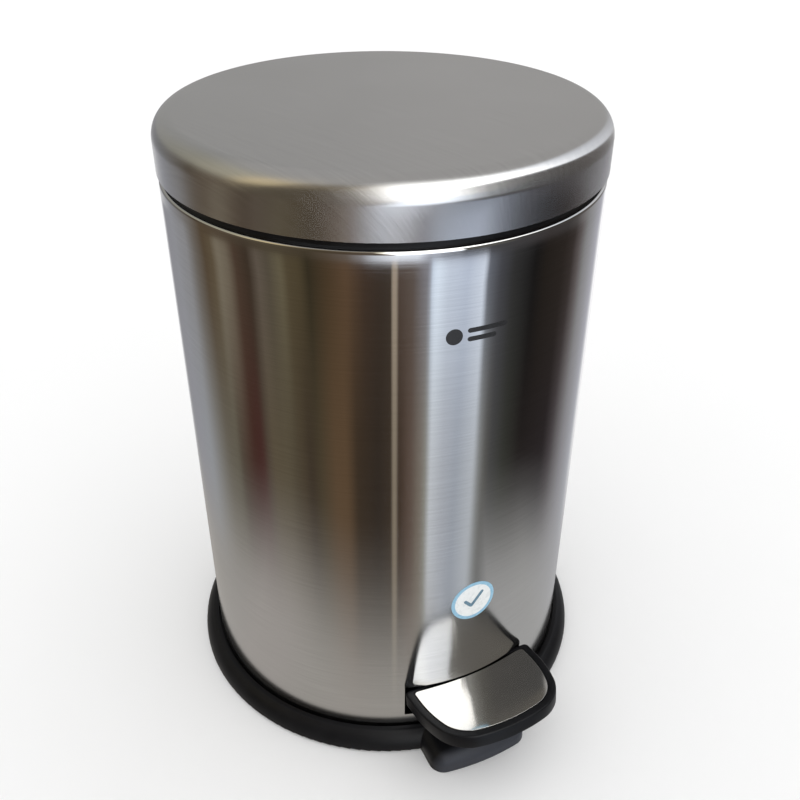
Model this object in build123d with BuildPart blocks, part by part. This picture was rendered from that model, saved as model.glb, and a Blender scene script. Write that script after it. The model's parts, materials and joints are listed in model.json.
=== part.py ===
from build123d import *

import os
from math import asin, atan, cos, degrees, radians, sin

# Round steel pedal bin with a lift-out inner bucket.
# Millimetres, +Z up.  The origin is on the can's axis at floor level, the pedal
# faces -Y and the lid hinge is at +Y.

# ---------------------------------------------------------------- dimensions
# Outer shell
shell_radius = 125.0
sheet = 0.8
shell_bottom = 5.6
shell_top = 347.8
shell_flange_radius = 122.4
shell_edge_radius = 2.0
slot_half_width = 42.6
slot_bottom = 23.0
slot_top = 48.8
slot_corner = 1.5
rear_notch_bottom = 328.0
rear_notch_half_width = 11.0
# the shell's openings are cut from these planes, this deep
cut_start = 100.0
cut_depth = 40.0

# Lid
lid_radius = 125.7
lid_bottom = 352.2
lid_edge_radius = 12.3
lid_edge_start = 369.2
lid_dome_rise_angle = radians(2.02)
lid_notch_half_width = 26.0
lid_notch_top = 362.0
lid_open_angle = 80.0
liner_ceiling = 372.0
liner_rim = 353.4
liner_skirt = (121.5, 124.6)
liner_rib_radius = 3.5
liner_pad = (48.0, 26.0)
bumper_bottom = 351.7
bumper_circle = 120.0
bumper_radius = 1.9

# Base
base_radius = 136.3
base_underside = 0.6
base_top = 13.9
base_lip_radius = 126.4
base_knee = (134.6, 8.4)
base_shoulder = (130.4, 12.9)
base_lip = (129.4, 13.65)
base_lip_edge = 128.2
shell_seat = 9.0
inner_lip_top = 13.0
inner_lip_radius = 121.5
base_skirt = (118.0, 121.0)
groove_radius = 131.0
groove_top = 2.0
tread_ring = (121.1, 130.9)
tread_ring_top = 1.95
floor_bottom = 3.0
floor_top = 5.5
foot_front = 155.6
foot_half_width = 33.8
foot_height = 13.4
foot_turn = 1.5
foot_corner = 10.0
foot_edge = 9.0
foot_root = 110.0
foot_bulge = 3.6
foot_taper = 3.0

# Pedal, drawn in its own plane, which rises to the front
pedal_level = 47.4
pedal_level_y = -121.0
pedal_rise = 9.5
pedal_turn = 0.9
pedal_half_width = 45.8
pedal_back = 2.5
pedal_back_corner = 3.0
pedal_side_end = -10.1
pedal_side_radius = 84.0
pedal_shoulder = 17.3
pedal_front = -55.5
pedal_front_radius = 105.0
pedal_thickness = 9.0
pedal_skin = 2.5
pedal_edge = 1.0
plate_inset = 5.3
plate_back = -1.0
plate_back_corner = 2.0
plate_thickness = 1.2
plate_step = 0.1

# Top collar inside the shell's mouth
collar_bottom = 330.0
collar_notch = 14.0
collar_top = 351.5
collar_outer = 121.6
collar_bore = 117.9
collar_shelf = (338.5, 341.0)
collar_shelf_radius = 112.5

# Lever
pivot_y = -42.0
pivot_z = 33.0
axle_radius = 3.0
bush_radius = 5.0
lever_half_width = 9.0
lever_half_height = 6.0
lever_sheet = 2.0
lever_front = -100.0
lever_end_round = 4.0
tongue_depth = 4.8
tongue_half_width = 16.0
tongue_span = (24.0, -41.0)
pedal_screw_v = (-14.0, -32.0)
pedal_boss_radius = 5.0

# Lift rod and hinge
rod_y = 118.0
rod_radius = 2.0
rod_bend = 4.0
rod_end_x = 11.0
rod_clip_x = 9.3
guide_levels = (110.0, 250.0)
guide_height = 10.0
lift_travel = 23.2
hinge_y = 131.7
hinge_z = 343.0
hinge_pin_radius = 2.0
barrel_radius = 5.5
arm_half_width = 22.0
crank_x = (4.0, 8.0)
crank_slot_half_width = 3.1
crank_slot_span = (14.4, 17.3)
crank_wall = 2.1
cheek_inner = 24.0
cheek_outer = 32.0
running_gap = 0.05
fit_gap = 0.02
housing_depth = (118.0, 146.0)
housing_height = (300.0, 349.0)
housing_round = 3.0
bay_bottom = 327.0
plate_height = (298.0, 320.0)
arm_level = 354.0
arm_thickness = 4.0
arm_front = 98.0
arm_neck = 3.5

# Axle bracket and stop
bracket_plate = (64.0, 30.0, 2.0)
ear_gap = 2.0
ear_sheet = 2.0
ear_foot = 11.0
ear_head = 8.0
axle_half_length = 18.0
stop_y = 100.0
stop_radius = 9.0
stop_height = 10.8

# Bucket and bail
bucket_bottom = 60.0
bucket_bottom_radius = 99.0
bucket_top_radius = 107.5
bucket_wall = 1.6
bucket_seat = 341.2
bucket_flange_radius = 117.4
bucket_flange = 2.0
bail_level = 348.0
bail_radius = 110.5
bail_wire_radius = 1.75

# Label on the front of the shell
label_radius = 14.6
label_level = 114.5
label_turn = -0.3
label_thickness = 0.15

# Fasteners
clip_width = 1.8
clip_thickness = 1.0
bracket_screw_span = (48.0, 18.0)
hinge_screw_x = 20.0
hinge_screw_z = 309.0
hinge_screw_face = 120.9
lid_screw_x = 14.0
lid_screw_y = 108.0
screw_radius = 1.9
screw_head_radius = 3.5
screw_head_height = 2.0

# ---------------------------------------------------------------- worked out
crank_start_angle = lid_open_angle / 2
rod_top_z = hinge_z - lift_travel / 2
rod_foot_z = pivot_z - lift_travel / 2
lever_reach = rod_y - pivot_y
shell_inner = shell_radius - sheet
hinge_screws_at = ((-hinge_screw_x, hinge_screw_z), (hinge_screw_x, hinge_screw_z))
front_centre = pedal_front + pedal_front_radius
shoulder_turn = radians(pedal_shoulder)
shoulder = (
    pedal_half_width - pedal_side_radius * (1 - cos(shoulder_turn)),
    pedal_side_end - pedal_side_radius * sin(shoulder_turn),
)
# radius of the corner that is tangent to both the side and the front
corner_reach = pedal_front_radius**2 - shoulder[0] ** 2 - (shoulder[1] - front_centre) ** 2
corner_lean = (
    (shoulder[1] - front_centre) * sin(shoulder_turn) - shoulder[0] * cos(shoulder_turn)
)
corner_radius = corner_reach / (2 * (corner_lean + pedal_front_radius))
corner_centre = (
    shoulder[0] - corner_radius * cos(shoulder_turn),
    shoulder[1] + corner_radius * sin(shoulder_turn),
)
front_turn = asin(corner_centre[0] / (pedal_front_radius - corner_radius))
pedal_plane = Plane(
    origin=Vector(0, pedal_level_y, pedal_level).rotate(Axis.Z, pedal_turn),
    x_dir=Vector(1, 0, 0).rotate(Axis.Z, pedal_turn),
    z_dir=Vector(0, sin(radians(pedal_rise)), cos(radians(pedal_rise))).rotate(
        Axis.Z, pedal_turn
    ),
)


def save(piece, name):
    """Label a finished piece and write it."""
    piece.part.label = name
    export_step(piece.part, f"parts/{name}.step")


def ring(points):
    """Ring-shaped piece turned from a closed section of (radius, height) points."""
    with BuildPart() as turned:
        with BuildSketch(Plane.XZ):
            with BuildLine():
                Polyline(points, close=True)
            make_face()
        revolve(axis=Axis.Z)
    return turned


def dome_section(inset, bottom):
    """Half section of the lid's outside, moved inwards by the inset."""
    wall = lid_radius - inset
    edge = lid_edge_radius - inset
    centre_r = lid_radius - lid_edge_radius
    turn = radians(90) - lid_dome_rise_angle
    end_r = centre_r + edge * cos(turn)
    end_z = lid_edge_start + edge * sin(turn)
    dome = end_r / sin(lid_dome_rise_angle)
    apex = end_z + dome * (1 - cos(lid_dome_rise_angle))
    with BuildSketch(Plane.XZ) as section:
        with BuildLine():
            Line((0, bottom), (wall, bottom))
            Line((wall, bottom), (wall, lid_edge_start))
            ThreePointArc(
                (wall, lid_edge_start),
                (centre_r + edge * cos(turn / 2), lid_edge_start + edge * sin(turn / 2)),
                (end_r, end_z),
            )
            RadiusArc((end_r, end_z), (0, apex), -dome)
            Line((0, apex), (0, bottom))
        make_face()
    return section.sketch


def pedal_outline(inset, back, back_corner):
    """Plan of the pedal in its own plane, moved inwards and cut off straight at the back."""
    beyond = 40
    with BuildSketch() as outline:
        with BuildLine():
            Line((pedal_half_width, beyond), (pedal_half_width, pedal_side_end))
            TangentArc((pedal_half_width, pedal_side_end), shoulder, tangent=(0, -1))
            middle = (shoulder_turn + radians(90) - front_turn) / 2
            ThreePointArc(
                shoulder,
                (
                    corner_centre[0] + corner_radius * cos(middle),
                    corner_centre[1] - corner_radius * sin(middle),
                ),
                (
                    pedal_front_radius * sin(front_turn),
                    front_centre - pedal_front_radius * cos(front_turn),
                ),
            )
            TangentArc(
                (0, pedal_front),
                (
                    pedal_front_radius * sin(front_turn),
                    front_centre - pedal_front_radius * cos(front_turn),
                ),
                tangent=(1, 0),
            )
            mirror(about=Plane.YZ)
            Line((pedal_half_width, beyond), (-pedal_half_width, beyond))
        make_face()
        if inset > 0:
            offset(amount=-inset)
        with Locations((0, back)):
            Rectangle(
                4 * pedal_half_width,
                2 * beyond,
                align=(Align.CENTER, Align.MIN),
                mode=Mode.SUBTRACT,
            )
        fillet(outline.vertices().group_by(Axis.Y)[-1], back_corner)
    return outline.sketch


def side_slab(low, high, half_width):
    """Slab between two straight lines of (y, z) points, across the full width."""
    with BuildPart() as slab:
        with BuildSketch(Plane.YZ):
            with BuildLine():
                Polyline([*low, *reversed(high)], close=True)
            make_face()
        extrude(amount=half_width, both=True)
    return slab.part


def screw(length):
    """Pan-head screw, head up, with the underside of its head at the origin."""
    with BuildPart() as fastener:
        Cylinder(screw_head_radius, screw_head_height, align=(Align.CENTER, Align.CENTER, Align.MIN))
        fillet(fastener.edges().sort_by(Axis.Z)[-1], 1.2)
        Cylinder(screw_radius, length, align=(Align.CENTER, Align.CENTER, Align.MAX))
    return fastener.part


os.makedirs("parts", exist_ok=True)

# ---------------------------------------------------------------- outer shell
with BuildPart() as outer_shell:
    with BuildSketch(Plane.XZ):
        with BuildLine():
            Line((shell_inner, shell_bottom), (shell_radius, shell_bottom))
            Line((shell_radius, shell_bottom), (shell_radius, shell_top - shell_edge_radius))
            RadiusArc(
                (shell_radius, shell_top - shell_edge_radius),
                (shell_radius - shell_edge_radius, shell_top),
                -shell_edge_radius,
            )
            Line((shell_radius - shell_edge_radius, shell_top), (shell_flange_radius, shell_top))
            Line((shell_flange_radius, shell_top), (shell_flange_radius, shell_top - sheet))
            Line(
                (shell_flange_radius, shell_top - sheet),
                (shell_radius - shell_edge_radius, shell_top - sheet),
            )
            RadiusArc(
                (shell_radius - shell_edge_radius, shell_top - sheet),
                (shell_inner, shell_top - shell_edge_radius),
                shell_edge_radius - sheet,
            )
            Line((shell_inner, shell_top - shell_edge_radius), (shell_inner, shell_bottom))
        make_face()
    revolve(axis=Axis.Z)
    # slot for the pedal
    with BuildSketch(Plane.XZ.offset(cut_start)):
        with Locations((0, (slot_bottom + slot_top) / 2)):
            RectangleRounded(2 * slot_half_width, slot_top - slot_bottom, slot_corner)
    extrude(amount=cut_depth, mode=Mode.SUBTRACT)
    # notch for the lid's crank
    notch_height = shell_top + 2 - rear_notch_bottom
    with BuildSketch(Plane.XZ.offset(-cut_start)):
        with Locations((0, rear_notch_bottom + notch_height / 2)):
            Rectangle(2 * rear_notch_half_width, notch_height)
    extrude(amount=-cut_depth, mode=Mode.SUBTRACT)
    # holes for the hinge screws
    with BuildSketch(Plane.XZ.offset(-cut_start)):
        with Locations(*hinge_screws_at):
            Circle(screw_radius + 0.2)
    extrude(amount=-cut_depth, mode=Mode.SUBTRACT)
save(outer_shell, "outer_shell")

# round label, a thin disc that follows the shell's curve
with BuildPart() as front_label:
    with BuildSketch(Plane.XZ.offset(shell_radius - 10)):
        with Locations((shell_radius * sin(radians(label_turn)), label_level)):
            Circle(label_radius)
    extrude(amount=20)
    with BuildSketch(Plane.XY):
        Circle(shell_radius + 0.02 + label_thickness)
        Circle(shell_radius + 0.02, mode=Mode.SUBTRACT)
    extrude(amount=shell_top, mode=Mode.INTERSECT)
save(front_label, "front_label")

# ---------------------------------------------------------------- base ring and foot
foot_back = base_lip_radius + 1.5
foot_corner_y = -foot_front + foot_bulge - 0.6
with BuildPart() as foot:
    with BuildSketch(Plane.XY.offset(base_underside)) as foot_plan:
        with BuildLine():
            Line((-foot_half_width, -foot_root), (-foot_half_width, foot_corner_y))
            ThreePointArc(
                (-foot_half_width, foot_corner_y),
                (0, foot_corner_y - foot_bulge),
                (foot_half_width, foot_corner_y),
            )
            Line((foot_half_width, foot_corner_y), (foot_half_width, -foot_root))
            Line((foot_half_width, -foot_root), (-foot_half_width, -foot_root))
        make_face()
        fillet(foot_plan.vertices().group_by(Axis.Y)[0], foot_corner)
    extrude(foot_plan.sketch.rotate(Axis.Z, -foot_turn), amount=foot_height, taper=foot_taper)
    fillet(foot.faces().sort_by(Axis.Z)[-1].edges(), foot_edge)
    Cylinder(foot_back, 100, mode=Mode.SUBTRACT)
    Cylinder(groove_radius, 2 * groove_top, mode=Mode.SUBTRACT)
with BuildPart() as base_ring:
    with BuildSketch(Plane.XZ):
        with BuildLine():
            Line((0, floor_bottom), (base_skirt[0], floor_bottom))
            Line((base_skirt[0], floor_bottom), (base_skirt[0], base_underside))
            Line((base_skirt[0], base_underside), (base_skirt[1], base_underside))
            Line((base_skirt[1], base_underside), (base_skirt[1], groove_top))
            Line((base_skirt[1], groove_top), (groove_radius, groove_top))
            Line((groove_radius, groove_top), (groove_radius, base_underside))
            Line((groove_radius, base_underside), (base_radius - 1.2, base_underside))
            ThreePointArc(
                (base_radius - 1.2, base_underside),
                (base_radius - 0.3, base_underside + 0.4),
                (base_radius, base_underside + 1.4),
            )
            ThreePointArc((base_radius, base_underside + 1.4), base_knee, base_shoulder)
            ThreePointArc(base_shoulder, base_lip, (base_lip_edge, base_top))
            Line((base_lip_edge, base_top), (base_lip_radius, base_top))
            Line((base_lip_radius, base_top), (base_lip_radius, shell_seat))
            Line((base_lip_radius, shell_seat), (shell_radius + 0.1, shell_seat))
            Line((shell_radius + 0.1, shell_seat), (shell_radius + 0.1, floor_top))
            Line((shell_radius + 0.1, floor_top), (shell_inner - 0.1, floor_top))
            Line((shell_inner - 0.1, floor_top), (shell_inner - 0.1, inner_lip_top))
            Line((shell_inner - 0.1, inner_lip_top), (inner_lip_radius, inner_lip_top))
            Line((inner_lip_radius, inner_lip_top), (inner_lip_radius, floor_top))
            Line((inner_lip_radius, floor_top), (0, floor_top))
            Line((0, floor_top), (0, floor_bottom))
        make_face()
    revolve(axis=Axis.Z)
    add(foot.part)
    # screw holes for the axle bracket
    with BuildSketch(Plane.XY.offset(floor_top)):
        with Locations((0, pivot_y)):
            with GridLocations(*bracket_screw_span, 2, 2):
                Circle(screw_radius + 0.05)
    extrude(amount=-(floor_top - floor_bottom), mode=Mode.SUBTRACT)
save(base_ring, "base_ring")

tread_inner, tread_outer = tread_ring
non_slip_ring = ring(
    [
        (tread_inner, 0),
        (tread_outer, 0),
        (tread_outer, tread_ring_top),
        (tread_inner, tread_ring_top),
    ]
)
save(non_slip_ring, "non_slip_ring")

# ---------------------------------------------------------------- top collar
shelf_low, shelf_high = collar_shelf
collar_rim = shell_flange_radius - 0.2
with BuildPart() as top_collar:
    with BuildSketch(Plane.XZ):
        with BuildLine():
            Polyline(
                [
                    (shell_inner - 0.1, collar_bottom),
                    (shell_inner - 0.1, shell_top - 2.4),
                    (collar_rim, shell_top - 1.0),
                    (collar_rim, collar_top - 0.5),
                    (collar_rim - 0.5, collar_top),
                    (collar_bore + 0.5, collar_top),
                    (collar_bore, collar_top - 0.5),
                    (collar_bore, shelf_high),
                    (collar_shelf_radius, shelf_high),
                    (collar_shelf_radius, shelf_low),
                    (collar_outer - 1.2, shelf_low),
                    (collar_outer, shelf_low - 1.2),
                    (collar_outer, collar_bottom),
                ],
                close=True,
            )
        make_face()
    revolve(axis=Axis.Z)
    with Locations((0, rod_y, shelf_low)):
        Box(2 * collar_notch, 22, 40, mode=Mode.SUBTRACT)
save(top_collar, "top_collar")

# ---------------------------------------------------------------- axle bracket
ear_inner = lever_half_width + ear_gap
ear_outer = ear_inner + ear_sheet
with BuildPart() as axle_bracket:
    with Locations((0, pivot_y, floor_top)):
        Box(*bracket_plate, align=(Align.CENTER, Align.CENTER, Align.MIN))
    with BuildSketch(Plane.YZ.offset(ear_inner)):
        with BuildLine():
            Polyline(
                [
                    (pivot_y - ear_foot, floor_top),
                    (pivot_y + ear_foot, floor_top),
                    (pivot_y + ear_head, pivot_z + ear_head),
                    (pivot_y - ear_head, pivot_z + ear_head),
                ],
                close=True,
            )
        make_face()
    extrude(amount=ear_outer - ear_inner)
    mirror(about=Plane.YZ)
    fillet(axle_bracket.edges().filter_by(Axis.X).group_by(Axis.Z)[-1], 6)
    with BuildSketch(Plane.YZ.offset(-ear_outer)):
        with Locations((pivot_y, pivot_z)):
            Circle(axle_radius + fit_gap)
    extrude(amount=2 * ear_outer, mode=Mode.SUBTRACT)
    with BuildSketch(Plane.XY.offset(floor_top)):
        with Locations((0, pivot_y)):
            with GridLocations(*bracket_screw_span, 2, 2):
                Circle(screw_radius + 0.15)
    extrude(amount=bracket_plate[2], mode=Mode.SUBTRACT)
save(axle_bracket, "axle_bracket")

with BuildPart() as bracket_screws:
    with Locations((0, pivot_y, floor_top + bracket_plate[2])):
        with GridLocations(*bracket_screw_span, 2, 2):
            add(screw(4.4))
save(bracket_screws, "bracket_screws")

with BuildPart() as pedal_axle:
    with BuildSketch(Plane.YZ):
        with Locations((pivot_y, pivot_z)):
            Circle(axle_radius)
    extrude(amount=axle_half_length, both=True)
    chamfer(pedal_axle.edges().group_by(Axis.X)[0], 0.6)
    chamfer(pedal_axle.edges().group_by(Axis.X)[-1], 0.6)
save(pedal_axle, "pedal_axle")

with BuildPart() as axle_clips:
    with BuildSketch(Plane.YZ.offset(ear_outer + 0.2)):
        with Locations((pivot_y, pivot_z)):
            Circle(axle_radius + clip_width)
            Circle(axle_radius + fit_gap, mode=Mode.SUBTRACT)
    extrude(amount=clip_thickness)
    mirror(about=Plane.YZ)
save(axle_clips, "axle_clips")

with BuildPart() as lever_stop:
    with BuildSketch(Plane.XY.offset(floor_top)):
        with Locations((0, stop_y)):
            Circle(stop_radius)
    extrude(amount=stop_height, taper=8)
save(lever_stop, "lever_stop")

# ---------------------------------------------------------------- lift rod and guides
with BuildPart() as lift_rod:
    with BuildLine() as rod_path:
        FilletPolyline(
            (rod_end_x, rod_y, rod_foot_z),
            (0, rod_y, rod_foot_z),
            (0, rod_y, rod_top_z),
            (rod_end_x, rod_y, rod_top_z),
            radius=rod_bend,
        )
    with BuildSketch(Plane.YZ.offset(rod_end_x)):
        with Locations((rod_y, rod_foot_z)):
            Circle(rod_radius)
    sweep()
save(lift_rod, "lift_rod")

with BuildPart() as rod_clips:
    with BuildSketch(Plane.YZ.offset(rod_clip_x)):
        with Locations((rod_y, rod_foot_z), (rod_y, rod_top_z)):
            Circle(rod_radius + clip_width)
            Circle(rod_radius + fit_gap, mode=Mode.SUBTRACT)
    extrude(amount=clip_thickness)
save(rod_clips, "rod_clips")

with BuildPart() as rod_guides:
    with BuildSketch(Plane.XY) as guide_plan:
        with Locations((0, rod_y + 1.4)):
            RectangleRounded(18, 10, 3)
        with Locations((0, rod_y + 4.4)):
            Rectangle(30, 4)
        Circle(shell_inner - 0.05, mode=Mode.INTERSECT)
        with Locations((0, rod_y)):
            Circle(rod_radius + running_gap, mode=Mode.SUBTRACT)
    for level in guide_levels:
        extrude(guide_plan.sketch.moved(Location((0, 0, level))), amount=guide_height)
save(rod_guides, "rod_guides")

# ---------------------------------------------------------------- rear hinge
housing_front, housing_rear = housing_depth
housing_bottom, housing_top = housing_height
with BuildPart() as hinge_housing:
    with BuildSketch(Plane.YZ):
        with BuildLine():
            Polyline(
                [
                    (housing_front, housing_bottom),
                    (housing_rear - 8, housing_bottom),
                    (housing_rear, housing_bottom + 8),
                    (housing_rear, housing_top - 21),
                    (housing_rear - 6.5, hinge_z),
                    (housing_rear - 10, housing_top),
                    (housing_front, housing_top),
                ],
                close=True,
            )
        make_face()
    extrude(amount=cheek_outer, both=True)
    fillet(
        hinge_housing.edges().filter_by(Axis.X).filter_by(lambda edge: edge.center().Y > hinge_y),
        housing_round,
    )
    fillet(hinge_housing.faces().sort_by(Axis.X)[-1].edges(), housing_round / 2)
    fillet(hinge_housing.faces().sort_by(Axis.X)[0].edges(), housing_round / 2)
    Cylinder(shell_radius + 0.1, 3 * shell_top, mode=Mode.SUBTRACT)
    # bay in which the lid's arm and crank swing
    with Locations((0, housing_rear, bay_bottom)):
        Box(
            2 * cheek_inner,
            2 * (housing_rear - housing_front),
            shell_top - housing_bottom,
            align=(Align.CENTER, Align.CENTER, Align.MIN),
            mode=Mode.SUBTRACT,
        )
    with BuildSketch(Plane.YZ):
        with Locations((hinge_y, hinge_z)):
            Circle(hinge_pin_radius + fit_gap)
    extrude(amount=cheek_outer, both=True, mode=Mode.SUBTRACT)
    with BuildSketch(Plane.XZ.offset(-housing_front)):
        with Locations(*hinge_screws_at):
            Circle(screw_radius + fit_gap)
    extrude(amount=-20, mode=Mode.SUBTRACT)
save(hinge_housing, "hinge_housing")

with BuildPart() as backing_plate:
    with BuildSketch(Plane.XY.offset(plate_height[0])):
        Circle(shell_inner - 0.05)
        Circle(shell_inner - 1.0, mode=Mode.SUBTRACT)
        with Locations((0, rod_y)):
            Rectangle(60, 30, mode=Mode.INTERSECT)
    extrude(amount=plate_height[1] - plate_height[0])
    with BuildSketch(Plane.XZ.offset(-cut_start)):
        with Locations(*hinge_screws_at):
            Circle(screw_radius + 0.2)
    extrude(amount=-cut_depth, mode=Mode.SUBTRACT)
save(backing_plate, "backing_plate")

with BuildPart() as hinge_screws:
    for x, z in hinge_screws_at:
        with Locations(Location((x, hinge_screw_face, z), (90, 0, 0))):
            add(screw(15))
save(hinge_screws, "hinge_screws")

with BuildPart() as hinge_pin:
    with BuildSketch(Plane.YZ):
        with Locations((hinge_y, hinge_z)):
            Circle(hinge_pin_radius)
    extrude(amount=cheek_outer + 1.6, both=True)
save(hinge_pin, "hinge_pin")

with BuildPart() as pin_caps:
    with BuildSketch(Plane.YZ.offset(cheek_outer + 0.05)):
        with Locations((hinge_y, hinge_z)):
            Circle(hinge_pin_radius + clip_width)
            Circle(hinge_pin_radius + fit_gap, mode=Mode.SUBTRACT)
    extrude(amount=1.2)
    mirror(about=Plane.YZ)
save(pin_caps, "pin_caps")

# ---------------------------------------------------------------- lid
with BuildPart() as lid_shell:
    revolve(dome_section(0, lid_bottom), axis=Axis.Z)
    revolve(dome_section(sheet, lid_bottom - 5), axis=Axis.Z, mode=Mode.SUBTRACT)
    with Locations((0, lid_radius, lid_bottom - 1)):
        Box(
            2 * lid_notch_half_width,
            30,
            lid_notch_top - lid_bottom + 1,
            align=(Align.CENTER, Align.CENTER, Align.MIN),
            mode=Mode.SUBTRACT,
        )
save(lid_shell, "lid_shell")

skirt_inner, skirt_outer = liner_skirt
pad_bottom = arm_level + arm_thickness
with BuildPart() as lid_liner:
    with BuildSketch(Plane.XZ):
        with BuildLine():
            Polyline(
                [
                    (0, liner_ceiling),
                    (skirt_inner - 2, liner_ceiling),
                    (skirt_inner, liner_ceiling - 4),
                    (skirt_inner, liner_rim),
                    (skirt_outer, liner_rim),
                    (skirt_outer, liner_ceiling - 3),
                    (skirt_outer - 2.6, liner_ceiling + 2),
                    (0, liner_ceiling + 2),
                ],
                close=True,
            )
        make_face()
    revolve(axis=Axis.Z)
    with BuildSketch(Plane.XY.offset(liner_rim)):
        with PolarLocations(bumper_circle, 4, start_angle=45):
            Circle(liner_rib_radius)
    extrude(amount=liner_ceiling + 1 - liner_rim)
    # pad that the hinge arm screws to
    with BuildSketch(Plane.XY.offset(pad_bottom)):
        with Locations((0, lid_screw_y + 2)):
            Rectangle(*liner_pad)
        Circle(skirt_inner + 0.3, mode=Mode.INTERSECT)
    extrude(amount=liner_ceiling + 1 - pad_bottom)
    with Locations((0, lid_radius, lid_bottom)):
        Box(
            liner_pad[0],
            20,
            pad_bottom + 0.2 - lid_bottom,
            align=(Align.CENTER, Align.CENTER, Align.MIN),
            mode=Mode.SUBTRACT,
        )
    with BuildSketch(Plane.XY.offset(pad_bottom)):
        with Locations((-lid_screw_x, lid_screw_y), (lid_screw_x, lid_screw_y)):
            Circle(screw_radius + fit_gap)
    extrude(amount=9, mode=Mode.SUBTRACT)
save(lid_liner, "lid_liner")

with BuildPart() as lid_bumpers:
    with BuildSketch(Plane.XY.offset(bumper_bottom)):
        with PolarLocations(bumper_circle, 4, start_angle=45):
            Circle(bumper_radius)
    extrude(amount=liner_rim - bumper_bottom)
save(lid_bumpers, "lid_bumpers")

with BuildPart() as hinge_arm:
    # flange under the lid and the neck that comes out through the rim
    with BuildSketch(Plane.YZ):
        with BuildLine():
            Polyline(
                [
                    (arm_front, arm_level),
                    (hinge_y - arm_neck, arm_level),
                    (hinge_y - arm_neck, hinge_z),
                    (hinge_y + arm_neck, hinge_z),
                    (hinge_y + arm_neck, pad_bottom),
                    (arm_front, pad_bottom),
                ],
                close=True,
            )
        make_face()
    extrude(amount=arm_half_width, both=True)
    fillet(
        hinge_arm.edges().filter_by(Axis.X).filter_by(lambda edge: edge.center().Y > hinge_y)
        .sort_by(Axis.Z)[-1],
        3,
    )
    with BuildSketch(Plane.YZ):
        with Locations((hinge_y, hinge_z)):
            Circle(barrel_radius)
    extrude(amount=arm_half_width, both=True)
    # crank that the lift rod pushes
    with BuildSketch(Plane.YZ.offset(crank_x[0])):
        with Locations(Location((hinge_y, hinge_z, 0), (0, 0, 180 + crank_start_angle))):
            with Locations((crank_slot_span[1] / 2, 0)):
                SlotCenterToCenter(crank_slot_span[1], 2 * (crank_slot_half_width + crank_wall))
    extrude(amount=crank_x[1] - crank_x[0])
    with BuildSketch(Plane.YZ.offset(crank_x[0])):
        with Locations(Location((hinge_y, hinge_z, 0), (0, 0, 180 + crank_start_angle))):
            with Locations((sum(crank_slot_span) / 2, 0)):
                SlotCenterToCenter(crank_slot_span[1] - crank_slot_span[0], 2 * crank_slot_half_width)
    extrude(amount=crank_x[1] - crank_x[0], mode=Mode.SUBTRACT)
    with BuildSketch(Plane.YZ):
        with Locations((hinge_y, hinge_z)):
            Circle(hinge_pin_radius + running_gap)
    extrude(amount=arm_half_width, both=True, mode=Mode.SUBTRACT)
    with BuildSketch(Plane.XY.offset(arm_level)):
        with Locations((-lid_screw_x, lid_screw_y), (lid_screw_x, lid_screw_y)):
            Circle(screw_radius + 0.2)
    extrude(amount=arm_thickness, mode=Mode.SUBTRACT)
save(hinge_arm, "hinge_arm")

with BuildPart() as lid_screws:
    for x in (-lid_screw_x, lid_screw_x):
        with Locations(Location((x, lid_screw_y, arm_level), (180, 0, 0))):
            add(screw(11))
save(lid_screws, "lid_screws")

# ---------------------------------------------------------------- pedal
recess_depth = plate_thickness + plate_step
with BuildPart() as pedal_shell:
    extrude(pedal_plane * pedal_outline(0, pedal_back, pedal_back_corner), amount=-pedal_thickness)
    fillet(pedal_shell.faces().sort_by(Axis.Z)[-1].edges(), pedal_edge)
    # seat of the steel tread
    extrude(
        pedal_plane * pedal_outline(plate_inset - 0.1, plate_back + 0.1, plate_back_corner + 0.1),
        amount=-recess_depth,
        mode=Mode.SUBTRACT,
    )
    # hollow underneath, open at the back for the lever's tongue
    underside = pedal_plane.offset(-pedal_thickness)
    hollow = pedal_thickness - recess_depth - pedal_skin
    extrude(
        underside * pedal_outline(pedal_skin, pedal_back - pedal_skin, 1),
        amount=hollow,
        mode=Mode.SUBTRACT,
    )
    with BuildSketch(underside):
        Rectangle(2 * tongue_half_width + 3, 20)
    extrude(amount=hollow, mode=Mode.SUBTRACT)
    # bosses that the tongue screws to
    boss_level = tongue_depth - recess_depth - pedal_skin
    with BuildSketch(pedal_plane.offset(-tongue_depth)):
        for v in pedal_screw_v:
            with Locations((0, v)):
                Circle(pedal_boss_radius)
    extrude(amount=boss_level)
    with BuildSketch(pedal_plane.offset(-tongue_depth)):
        for v in pedal_screw_v:
            with Locations((0, v)):
                Circle(screw_radius + 0.02)
    extrude(amount=boss_level + pedal_skin - 0.4, mode=Mode.SUBTRACT)
save(pedal_shell, "pedal_shell")

with BuildPart() as pedal_plate:
    extrude(
        pedal_plane.offset(-plate_step) * pedal_outline(plate_inset, plate_back, plate_back_corner),
        amount=-plate_thickness,
    )
save(pedal_plate, "pedal_plate")

lever_rear = rod_y + 5
slope = (rod_foot_z - pivot_z) / lever_reach
centre_line = [
    (lever_front, pivot_z),
    (pivot_y, pivot_z),
    (lever_rear, pivot_z + slope * (lever_rear - pivot_y)),
]
lever_top = [(y, z + lever_half_height) for y, z in centre_line]
lever_low = [(y, z - lever_half_height) for y, z in centre_line]
web_low = [(y, z - lever_sheet) for y, z in lever_top]
below = [(y, z - 3) for y, z in lever_low]

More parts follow.
